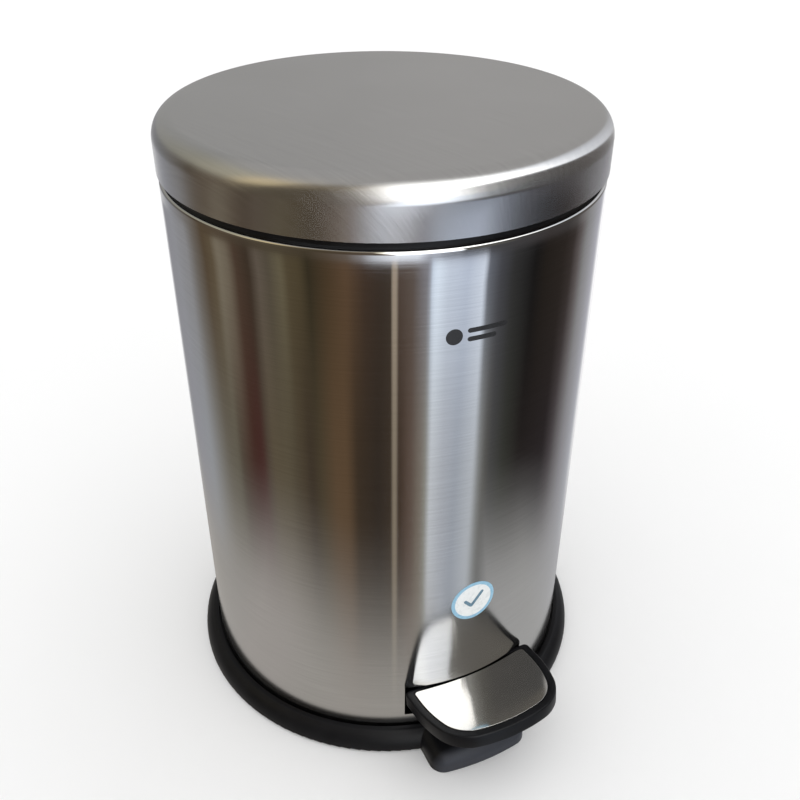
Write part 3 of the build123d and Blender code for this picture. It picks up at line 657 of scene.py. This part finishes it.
tip_centre = pedal_tip + tip_radius
side_centre = pedal_half_width - side_radius
shoulder = Vector(
    (side_centre + side_radius * cos(shoulder_turn), side_end - side_radius * sin(shoulder_turn))
)
corner_reach = tip_radius**2 - shoulder.x**2 - (shoulder.y - tip_centre) ** 2
corner_lean = (shoulder.y - tip_centre) * sin(shoulder_turn) - shoulder.x * cos(shoulder_turn)
corner_radius = corner_reach / (2 * (corner_lean + tip_radius))
corner_centre = shoulder + corner_radius * Vector((-cos(shoulder_turn), sin(shoulder_turn)))
tip_turn = asin(corner_centre.x / (tip_radius - corner_radius))


def pedal_outline(inset, back, back_corner):
    """Plan of the pedal in its own plane, moved inwards by the inset, cut off at the back."""
    half = []
    centre = (pedal_half_width - inset - back_corner, back - back_corner)
    for i in range(back_corner_steps + 1):
        turn = pi / 2 * (1 - i / back_corner_steps)
        half.append((centre[0] + back_corner * cos(turn), centre[1] + back_corner * sin(turn)))
    half.append((pedal_half_width - inset, (side_end + back) / 2))
    for i in range(side_steps + 1):
        turn = shoulder_turn * i / side_steps
        reach = side_radius - inset
        half.append((side_centre + reach * cos(turn), side_end - reach * sin(turn)))
    last = pi / 2 - tip_turn
    for i in range(1, shoulder_steps + 1):
        turn = shoulder_turn + (last - shoulder_turn) * i / shoulder_steps
        reach = corner_radius - inset
        half.append((corner_centre.x + reach * cos(turn), corner_centre.y - reach * sin(turn)))
    for i in range(1, tip_steps + 1):
        turn = tip_turn * (1 - i / tip_steps)
        reach = tip_radius - inset
        half.append((reach * sin(turn), tip_centre - reach * cos(turn)))
    return half + [(-x, y) for x, y in reversed(half[:-1])]


def pedal_ring(inset, back, back_corner, depth):
    """Ring of the pedal's outline at a depth below its top plane."""
    points = pedal_outline(inset, back, back_corner)
    return [pedal_frame @ Vector((x, y, -depth)) for x, y in points]


def edge_rings(inset, back, back_corner, depth, radius, steps=5):
    """Rings that round a top edge over, from the side to the flat."""
    made = []
    for i in range(steps + 1):
        turn = pi / 2 * i / steps
        pull = radius * (1 - cos(turn))
        drop = radius * (1 - sin(turn))
        made.append(pedal_ring(inset + pull, back - pull, back_corner, depth + drop))
    return made


recess = plate_step + plate_thickness
seat_inset = plate_inset - 0.5 * MM
plate_back = -1.0 * MM
seat_back = plate_back + 0.5 * MM
lip = 0.35 * MM
# rings by inset, back, back corner and depth, from the hollow underside round to the plate's seat
pedal_mesh = lofted(
    "pedal_body",
    [
        pedal_ring(wall_thickness, 0.0, 1.0 * MM, 3.8 * MM),
        pedal_ring(wall_thickness, 0.0, 1.0 * MM, pedal_thickness - 0.4 * MM),
        pedal_ring(wall_thickness - 0.4 * MM, 0.4 * MM, 1.2 * MM, pedal_thickness),
        pedal_ring(0.5 * MM, pedal_back - 0.5 * MM, 2.6 * MM, pedal_thickness),
        pedal_ring(0.15 * MM, pedal_back - 0.15 * MM, 2.9 * MM, pedal_thickness - 0.15 * MM),
        pedal_ring(0.0, pedal_back, 3.0 * MM, pedal_thickness - 0.5 * MM),
        *edge_rings(0.0, pedal_back, 3.0 * MM, 0.0, pedal_edge),
        pedal_ring(seat_inset - lip, seat_back + lip, 2.8 * MM, 0.0),
        pedal_ring(seat_inset - lip * 0.3, seat_back + lip * 0.3, 2.6 * MM, lip * 0.3),
        pedal_ring(seat_inset, seat_back, 2.5 * MM, lip),
        pedal_ring(seat_inset, seat_back, 2.5 * MM, recess),
    ],
)
pedal = finish_mesh("pedal_body", pedal_mesh, "pedal", pedal_plastic, ["pedal_shell"])

plate_mesh = lofted(
    "tread_plate",
    [
        pedal_ring(plate_inset, plate_back, 2.0 * MM, recess),
        *edge_rings(plate_inset, plate_back, 2.0 * MM, plate_step, 0.15 * MM),
    ],
)
plate = finish_mesh("tread_plate", plate_mesh, "pedal", pedal_steel, ["pedal_plate"])

# ------------------------------------------------------------------ stage, light and camera
floor_span = 6.0
floor_mesh = bpy.data.meshes.new("floor")
floor_mesh.from_pydata(
    [(x * floor_span, y * floor_span, 0) for x, y in ((-1, -1), (1, -1), (1, 1), (-1, 1))],
    [],
    [(0, 1, 2, 3)],
)
floor = bpy.data.objects.new("floor", floor_mesh)
bpy.context.scene.collection.objects.link(floor)
floor_maker = Maker("floor_paper", (0.86, 0.86, 0.86), 0.9)
floor_grain = floor_maker.noise(floor_maker.coordinates, 3.0)
floor_maker.connect("Base Color", floor_maker.tint(floor_grain, (0.85, 0.85, 0.85), (0.88, 0.88, 0.88)))
floor_mesh.materials.append(floor_maker.material)
floor.visible_glossy = False


def glowing(name, points, lights, faces, least_bounces=0):
    """Stage sheet that only shows mirrored, after at least so many reflections.

    It gives off the light held by its points and thins out with their last value.
    """
    mesh = bpy.data.meshes.new(name)
    mesh.from_pydata(points, [], faces)
    held = mesh.color_attributes.new("light", "FLOAT_COLOR", "POINT")
    for n, value in enumerate(lights):
        held.data[n].color = value
    piece = bpy.data.objects.new(name, mesh)
    bpy.context.scene.collection.objects.link(piece)
    material = bpy.data.materials.new(name)
    material.use_nodes = True
    nodes = material.node_tree.nodes
    link = material.node_tree.links.new
    nodes.clear()
    light = nodes.new("ShaderNodeVertexColor")
    light.layer_name = "light"
    glow = nodes.new("ShaderNodeEmission")
    clear = nodes.new("ShaderNodeBsdfTransparent")
    mix = nodes.new("ShaderNodeMixShader")
    out = nodes.new("ShaderNodeOutputMaterial")
    path = nodes.new("ShaderNodeLightPath")
    deep = nodes.new("ShaderNodeMath")
    deep.operation = "GREATER_THAN"
    deep.inputs[1].default_value = least_bounces - 0.5
    both = nodes.new("ShaderNodeMath")
    both.operation = "MULTIPLY"
    link(light.outputs["Color"], glow.inputs["Color"])
    link(path.outputs["Glossy Depth"], deep.inputs[0])
    link(deep.outputs[0], both.inputs[0])
    link(light.outputs["Alpha"], both.inputs[1])
    link(both.outputs[0], mix.inputs[0])
    link(clear.outputs[0], mix.inputs[1])
    link(glow.outputs[0], mix.inputs[2])
    link(mix.outputs[0], out.inputs[0])
    mesh.materials.append(material)
    piece.visible_camera = False
    piece.visible_diffuse = False
    piece.visible_shadow = False
    piece.visible_transmission = False


def between(stops, turn):
    """Value of a table of angles and values at an angle, joined by straight lines."""
    for (low, start), (high, end) in zip(stops, stops[1:]):
        if turn <= high:
            share = max(0.0, (turn - low) / (high - low))
            return tuple(a + (b - a) * share for a, b in zip(start, end))
    return stops[-1][1]


def linear(level):
    """Linear light of a 0-255 screen level."""
    s = level / 255
    return s / 12.92 if s <= 0.04045 else ((s + 0.055) / 1.055) ** 2.4


# share of the light that the brushed steel gives back
STEEL = 0.60

# pool of light on the floor round the bin, seen only as a reflection low in the steel:
# angle from the camera's side, its half-way radius and its levels as seen in the steel
POOL = (
    (-180, (0.25, 141, 138, 135)),
    (-95, (0.25, 140, 137, 133)),
    (-75, (0.265, 144, 141, 138)),
    (-60, (0.283, 148, 144, 141)),
    (-45, (0.272, 148, 144, 141)),
    (-28, (0.248, 145, 142, 138)),
    (-12, (0.225, 146, 142, 138)),
    (0, (0.222, 145, 142, 138)),
    (20, (0.212, 143, 140, 136)),
    (24, (0.165, 160, 162, 165)),
    (40, (0.175, 160, 162, 165)),
    (47, (0.290, 150, 150, 151)),
    (70, (0.288, 148, 148, 148)),
    (90, (0.255, 147, 147, 149)),
    (110, (0.225, 146, 146, 149)),
    (130, (0.215, 146, 146, 149)),
    (180, (0.25, 141, 138, 135)),
)
pool_points = []
pool_lights = []
pool_faces = []
pool_steps = 120
pool_height = 0.4 * MM
pool_least_reach = 50 * MM
# rings of the pool: how far past the half-way radius, and how solid
fade_rings = ((-0.20, 1.0), (-0.08, 1.0), (-0.045, 0.86), (0.0, 0.48), (0.045, 0.16), (0.10, 0.0))
for i in range(pool_steps + 1):
    from_camera = -180 + 360 * i / pool_steps
    half_way, *levels = between(POOL, from_camera)
    turn = view_turn + radians(from_camera)
    for shift, solid in fade_rings:
        reach = max(half_way + shift, pool_least_reach)
        pool_points.append((reach * sin(turn), -reach * cos(turn), pool_height))
        pool_lights.append((*[linear(v) / STEEL for v in levels], solid))
    if i:
        for k in range(len(fade_rings) - 1):
            n = i * len(fade_rings) + k
            pool_faces.append((n - len(fade_rings), n, n + 1, n - len(fade_rings) + 1))
glowing("floor_card", pool_points, pool_lights, pool_faces)

# what stands close by and only shows after two reflections, in the pedal and the steel above it,
# by the angle from the camera's side: a dark cupboard on the right and a bright window in front
FAR_CUPBOARD = (
    (40.5, (0.62, 0.62, 0.61)),
    (45, (0.36, 0.355, 0.34)),
    (51, (0.21, 0.205, 0.19)),
    (60, (0.155, 0.15, 0.145)),
    (128, (0.12, 0.12, 0.12)),
)
NEAR_CUPBOARD = (
    (35.5, (0.26, 0.25, 0.235)),
    (128, (0.20, 0.185, 0.165)),
)
WINDOW = (
    (-40, (1.45, 1.5, 1.6)),
    (-8, (1.65, 1.72, 1.85)),
    (6, (2.3, 2.38, 2.5)),
    (16, (1.85, 1.93, 2.1)),
    (34, (1.5, 1.58, 1.7)),
    (35.5, (1.5, 1.58, 1.7)),
)
stand_steps = 60
# how far off each one stands, its lowest and its highest level
stands = (
    (0.50, 0.20, 0.61, FAR_CUPBOARD),
    (0.33, 0.31, 0.70, NEAR_CUPBOARD),
    (0.33, 0.31, 0.70, WINDOW),
)
for number, (reach, low_z, high_z, stops) in enumerate(stands):
    first, last = stops[0][0], stops[-1][0]
    points = []
    lights = []
    faces = []
    for i in range(stand_steps + 1):
        from_camera = first + (last - first) * i / stand_steps
        turn = view_turn + radians(from_camera)
        points += [(reach * sin(turn), -reach * cos(turn), z) for z in (low_z, high_z)]
        lights += [(*between(stops, from_camera), 1)] * 2
        if i:
            n = len(points)
            faces.append((n - 4, n - 2, n - 1, n - 3))
    glowing(f"dark_cupboard_{number}", points, lights, faces, least_bounces=2)

# what stands round the bin, by the angle from the camera's side, as levels seen in the steel:
# first the floor farther off, then what is a little below eye level
FLOOR_ROOM = (
    (-180, (150, 150, 154)),
    (-160, (180, 180, 182)),
    (-151, (124, 125, 127)),
    (-142, (128, 128, 134)),
    (-124, (137, 140, 145)),
    (-115, (125, 125, 125)),
    (-109, (113, 111, 106)),
    (-103, (100, 96, 87)),
    (-94, (90, 86, 75)),
    (-91, (69, 59, 50)),
    (-85, (67, 48, 41)),
    (-79, (63, 36, 32)),
    (-74, (67, 38, 36)),
    (-70, (76, 66, 56)),
    (-66, (85, 76, 60)),
    (-58, (84, 76, 61)),
    (-52, (74, 66, 53)),
    (-48, (70, 61, 48)),
    (-43, (57, 48, 39)),
    (-37, (70, 61, 46)),
    (-28, (87, 69, 51)),
    (-22, (86, 68, 50)),
    (-16, (55, 45, 35)),
    (-4, (47, 40, 34)),
    (2, (56, 47, 39)),
    (3.2, (58, 49, 41)),
    (4.2, (122, 112, 98)),
    (5.8, (122, 112, 98)),
    (6.8, (60, 49, 41)),
    (9, (66, 53, 44)),
    (14, (87, 73, 65)),
    (20, (116, 109, 100)),
    (23, (134, 134, 128)),
    (25, (182, 186, 192)),
    (32, (161, 165, 173)),
    (40, (146, 152, 162)),
    (51, (172, 177, 184)),
    (54, (128, 130, 130)),
    (58, (86, 85, 82)),
    (62, (66, 66, 66)),
    (71, (48, 49, 44)),
    (82, (33, 29, 28)),
    (104, (38, 34, 36)),
    (112, (70, 65, 68)),
    (119, (105, 103, 106)),
    (127, (127, 126, 131)),
    (146, (150, 152, 158)),
    (156, (198, 198, 200)),
    (165, (170, 170, 172)),
)
LOW_ROOM = (
    (-180, (150, 150, 154)),
    (-160, (178, 178, 180)),
    (-152, (120, 120, 125)),
    (-136, (130, 131, 136)),
    (-121, (128, 128, 131)),
    (-112, (101, 96, 91)),
    (-103, (79, 67, 53)),
    (-97, (88, 77, 61)),
    (-92, (114, 106, 92)),
    (-86, (105, 96, 83)),
    (-80, (71, 57, 47)),
    (-72, (57, 47, 38)),
    (-66, (90, 81, 72)),
    (-60, (79, 72, 61)),
    (-53, (95, 88, 70)),
    (-49, (77, 68, 51)),
    (-43, (73, 64, 47)),
    (-38, (50, 44, 32)),
    (-28, (70, 56, 40)),
    (-19, (86, 67, 50)),
    (-10, (63, 50, 41)),
    (-2, (55, 46, 39)),
    (2, (58, 50, 43)),
    (3.2, (62, 53, 46)),
    (4.2, (148, 136, 122)),
    (5.8, (148, 136, 122)),
    (6.8, (76, 64, 57)),
    (14, (86, 76, 70)),
    (22, (124, 124, 132)),
    (24, (200, 212, 230)),
    (26, (216, 228, 244)),
    (32, (193, 203, 220)),
    (42, (181, 191, 210)),
    (51, (203, 212, 228)),
    (53.5, (98, 102, 112)),
    (60, (68, 69, 75)),
    (68, (48, 48, 49)),
    (82, (24, 23, 23)),
    (90, (34, 30, 27)),
    (104, (41, 36, 33)),
    (112, (52, 46, 44)),
    (119, (88, 82, 82)),
    (127, (125, 125, 127)),
    (146, (154, 154, 162)),
    (156, (222, 222, 224)),
    (165, (175, 175, 177)),
)
# a little higher, where only the wall of the lid looks
WALL_ROOM = (
    (-180, (150, 150, 154)),
    (-160, (178, 178, 180)),
    (-136, (130, 131, 136)),
    (-112, (101, 96, 91)),
    (-103, (79, 67, 53)),
    (-90, (75, 64, 52)),
    (-72, (66, 57, 47)),
    (-60, (72, 64, 52)),
    (-49, (70, 62, 50)),
    (-38, (64, 56, 44)),
    (-28, (80, 70, 60)),
    (-18, (96, 88, 82)),
    (-11, (135, 133, 136)),
    (-5, (195, 200, 210)),
    (3, (228, 233, 244)),
    (16, (222, 229, 242)),
    (22, (150, 154, 167)),
    (30, (98, 100, 110)),
    (40, (76, 77, 83)),
    (55, (64, 64, 67)),
    (75, (62, 60, 62)),
    (90, (58, 54, 54)),
    (104, (60, 57, 57)),
    (112, (76, 73, 73)),
    (119, (110, 107, 108)),
    (127, (130, 130, 132)),
    (146, (154, 154, 162)),
    (156, (222, 222, 224)),
    (165, (175, 175, 177)),
)
# the same at eye level, in the bright band above the furniture, and the ceiling
MID_ROOM = (
    (-180, (150, 150, 152)),
    (-159, (134, 134, 135)),
    (-145, (114, 114, 116)),
    (-133, (103, 103, 104)),
    (-119, (92, 89, 86)),
    (-104, (67, 58, 48)),
    (-87, (83, 72, 60)),
    (-70, (79, 71, 59)),
    (-53, (76, 69, 56)),
    (-36, (68, 60, 47)),
    (-18, (74, 63, 52)),
    (-4, (84, 76, 68)),
    (4, (128, 120, 112)),
    (6, (290, 298, 310)),
    (37, (290, 298, 310)),
    (39, (86, 85, 82)),
    (53, (84, 83, 80)),
    (70, (62, 61, 61)),
    (90, (57, 54, 53)),
    (105, (66, 62, 58)),
    (121, (90, 85, 83)),
    (135, (116, 114, 114)),
    (145, (150, 149, 150)),
    (152, (192, 192, 194)),
    (166, (170, 170, 172)),
)
BAND_ROOM = (
    (-180, (142, 141, 140)),
    (-150, (132, 132, 131)),
    (-120, (133, 131, 121)),
    (-100, (149, 145, 130)),
    (-84, (156, 151, 134)),
    (-70, (192, 176, 142)),
    (-60, (184, 168, 132)),
    (-50, (122, 110, 88)),
    (-34, (100, 90, 72)),
    (-20, (113, 103, 86)),
    (-8, (130, 120, 104)),
    (-2, (236, 230, 212)),
    (4, (330, 330, 330)),
    (60, (330, 330, 330)),
    (90, (285, 285, 285)),
    (104, (225, 229, 237)),
    (116, (190, 194, 200)),
    (138, (180, 181, 186)),
    (148, (160, 160, 162)),
    (160, (142, 142, 141)),
)
CEILING = (145, 144, 143)
# sines of the heights where the band begins and ends
BAND_START = (
    (-180, -0.20),
    (-133, 0.09),
    (-105, 0.24),
    (-72, 0.28),
    (-58, 0.42),
    (-40, 0.60),
    (-22, 0.70),
    (-6, 0.72),
    (4, 0.10),
    (37, 0.10),
    (40, 0.56),
    (55, 0.62),
    (66, 0.64),
    (80, 0.60),
    (94, 0.50),
    (108, 0.35),
    (121, 0.21),
    (133, 0.08),
    (146, -0.12),
    (160, -0.25),
)
BAND_END = (
    (-180, 0.60),
    (-90, 0.80),
    (-60, 0.78),
    (-40, 0.86),
    (-8, 0.93),
    (2, 0.97),
    (30, 0.985),
    (48, 0.955),
    (82, 0.91),
    (100, 0.84),
    (112, 0.77),
    (125, 0.67),
    (133, 0.56),
    (140, 0.42),
    (148, 0.18),
    (165, 0.02),
)

world = bpy.data.worlds.new("room")
bpy.context.scene.world = world
world.use_nodes = True
tree = world.node_tree
tree.nodes.clear()


def world_node(kind, inputs=None, **settings):
    """Node of the room's light, with its inputs set or linked."""
    made = tree.nodes.new(kind)
    for key, value in settings.items():
        setattr(made, key, value)
    for key, value in (inputs or {}).items():
        if isinstance(value, bpy.types.NodeSocket):
            tree.links.new(value, made.inputs[key])
        else:
            made.inputs[key].default_value = value
    return made


def ramp_by_turn(stops, turn, colour_of):
    """Value that changes with the angle round the bin, as one ramp for either side."""
    sides = []
    for side in (stops[: len(stops) // 2 + 1], stops[len(stops) // 2 :]):
        ramp = world_node("ShaderNodeValToRGB", {0: turn})
        elements = ramp.color_ramp.elements
        while len(elements) > 1:
            elements.remove(elements[-1])
        for n, (angle, value) in enumerate(side):
            place = (angle + 180) / 360
            element = elements[0] if n == 0 else elements.new(place)
            element.position = place
            element.color = (*colour_of(value), 1)
        sides.append(ramp.outputs["Color"])
    seam = (stops[len(stops) // 2][0] + 180) / 360
    return blend(world_math("GREATER_THAN", turn, seam), *sides)


def seen_light(levels):
    """Light that shows the levels once the steel has mirrored it."""
    return [linear(c) / STEEL for c in levels]


def grey(value):
    """Sine of a height, held as a shade of grey."""
    return [(value + 1) / 2] * 3


def step_over(value, edge, half_width):
    """Soft step from 0 to 1 where the value passes an edge."""
    past = world_math("SUBTRACT", value, edge)
    inputs = {"Value": past, "From Min": -half_width, "From Max": half_width}
    return world_node("ShaderNodeMapRange", inputs, interpolation_type="SMOOTHSTEP").outputs["Result"]


def blend(factor, low_colour, high_colour):
    """Colour between two, by a factor."""
    inputs = {0: factor, 6: low_colour, 7: high_colour}
    return world_node("ShaderNodeMix", inputs, data_type="RGBA").outputs[2]


def world_math(operation, *values):
    """Result of a sum in the room's light."""
    return world_node("ShaderNodeMath", dict(enumerate(values)), operation=operation).outputs[0]


direction = world_node("ShaderNodeTexCoord").outputs["Generated"]
turned_back = {"Vector": direction, "Angle": -view_turn}
spun = world_node("ShaderNodeVectorRotate", turned_back, rotation_type="Z_AXIS")
sx, sy, sz = world_node("ShaderNodeSeparateXYZ", {0: spun.outputs[0]}).outputs
angle = world_math("ARCTAN2", sx, world_math("MULTIPLY", sy, -1.0))
# the angle and the sine of the height, each brought to between 0 and 1
share = world_math("MULTIPLY_ADD", angle, 1 / (2 * pi), 0.5)
lift = world_math("MULTIPLY_ADD", sz, 0.5, 0.5)
band_start = ramp_by_turn(BAND_START, share, grey)
band_end = ramp_by_turn(BAND_END, share, grey)
# layers of the room above the floor: where each takes over and half the width of its soft edge
layers = (
    (0.24, 0.06, LOW_ROOM),
    (0.3275, 0.003, WALL_ROOM),
    (0.375, 0.05, MID_ROOM),
    (band_start, 0.02, BAND_ROOM),
)
ceiling_softness = 0.04
room = ramp_by_turn(FLOOR_ROOM, share, seen_light)
for edge, half_width, levels in layers:
    room = blend(step_over(lift, edge, half_width), room, ramp_by_turn(levels, share, seen_light))
ceiling = world_node("ShaderNodeRGB")
ceiling.outputs[0].default_value = (*seen_light(CEILING), 1)
room = blend(step_over(lift, band_end, ceiling_softness), room, ceiling.outputs[0])
room_light = world_node("ShaderNodeBackground", {"Color": room, "Strength": 1.0})
soft_light = world_node("ShaderNodeBackground", {"Color": (1.0, 1.0, 1.0, 1), "Strength": 1.2})
# mirrors see the room, everything else the soft light
paths = world_node("ShaderNodeLightPath")
chosen = world_node("ShaderNodeMixShader", {0: paths.outputs["Is Glossy Ray"]})
tree.links.new(soft_light.outputs[0], chosen.inputs[1])
tree.links.new(room_light.outputs[0], chosen.inputs[2])
world_out = world_node("ShaderNodeOutputWorld")
tree.links.new(chosen.outputs[0], world_out.inputs[0])

bpy.context.scene.view_settings.view_transform = "Standard"

camera_data = bpy.data.cameras.new("camera")
camera_data.lens = 41.5
camera_data.sensor_width = 36.0
camera = bpy.data.objects.new("camera", camera_data)
bpy.context.scene.collection.objects.link(camera)
camera_distance = 511.6 * MM
camera_height = 521.6 * MM
camera_pitch = radians(33.336)
camera_pan = radians(1.094)
camera_roll = radians(0.252)
place = Vector((camera_distance * sin(view_turn), -camera_distance * cos(view_turn), camera_height))
aim = (
    Matrix.Rotation(view_turn - camera_pan, 4, "Z")
    @ Matrix.Rotation(pi / 2 - camera_pitch, 4, "X")
    @ Matrix.Rotation(camera_roll, 4, "Z")
)
camera.matrix_world = Matrix.Translation(place) @ aim
bpy.context.scene.camera = camera
